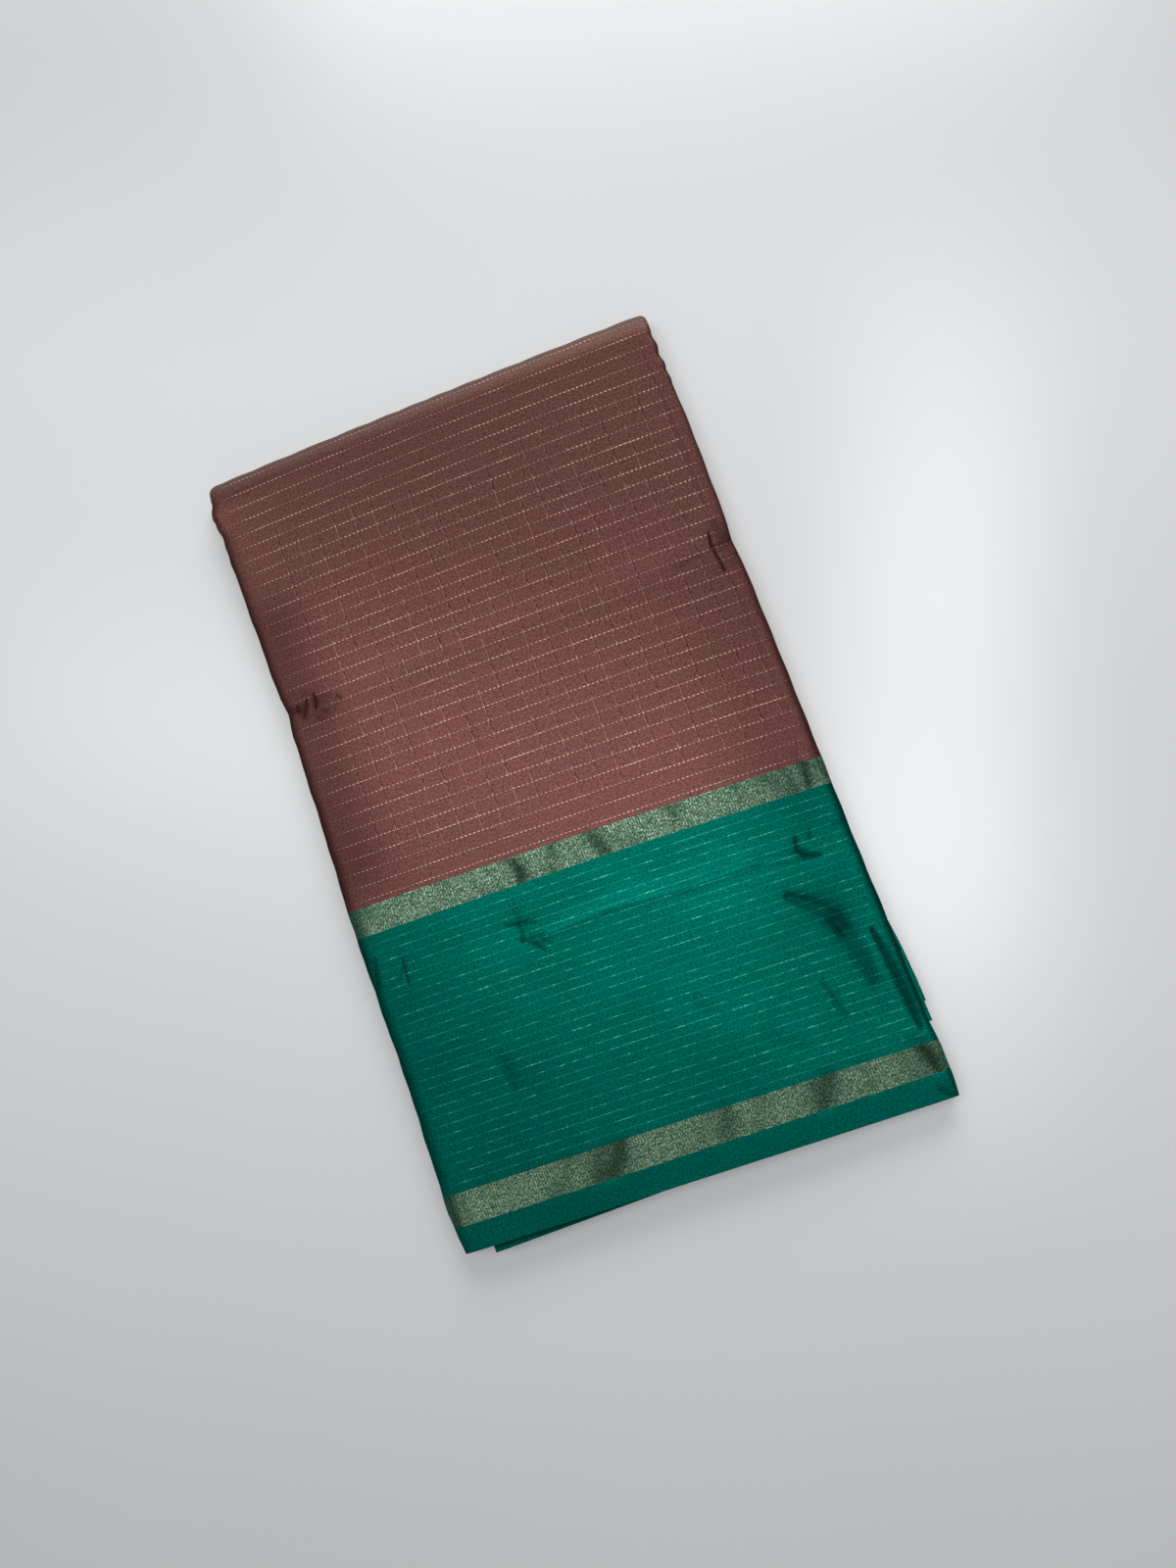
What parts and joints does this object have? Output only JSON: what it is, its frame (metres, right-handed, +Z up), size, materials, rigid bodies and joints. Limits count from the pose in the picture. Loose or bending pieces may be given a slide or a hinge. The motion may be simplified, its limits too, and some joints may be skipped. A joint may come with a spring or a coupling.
{
  "type": "folded silk saree",
  "caption": "Long silk cloth folded in panels and doubled into a flat bundle, striped body over a wide border with two woven metallic bands, lying on a surface.",
  "frame": {"origin": "on the surface the bundle lies on, under the middle of its bounding box", "axes": "+X across the panels, +Y from the selvedge ends towards the top fold, +Z up out of the surface"},
  "size_m": [0.3604, 0.5936, 0.0194],
  "materials": {
    "body_silk": "soft sheen, brown silk with fine metallic weft lines",
    "border_silk": "soft sheen, green silk with fine metallic weft lines",
    "zari": "glinting, ribbed metallic thread on green silk",
    "layer_silk": "soft sheen, edges of the folded silk layers"
  },
  "bodies": {
    "root": {"top_selvedge": "border_silk", "top_zari_lower": "zari", "top_border": "border_silk", "top_zari_upper": "zari", "top_body": "body_silk", "under_selvedge": "border_silk", "under_zari_lower": "zari", "under_border": "border_silk", "under_zari_upper": "zari", "under_body": "body_silk", "leaf_2": "border_silk", "leaf_3": "border_silk", "leaf_4": "border_silk", "folded_layers": "layer_silk"}
  },
  "joints": []
}
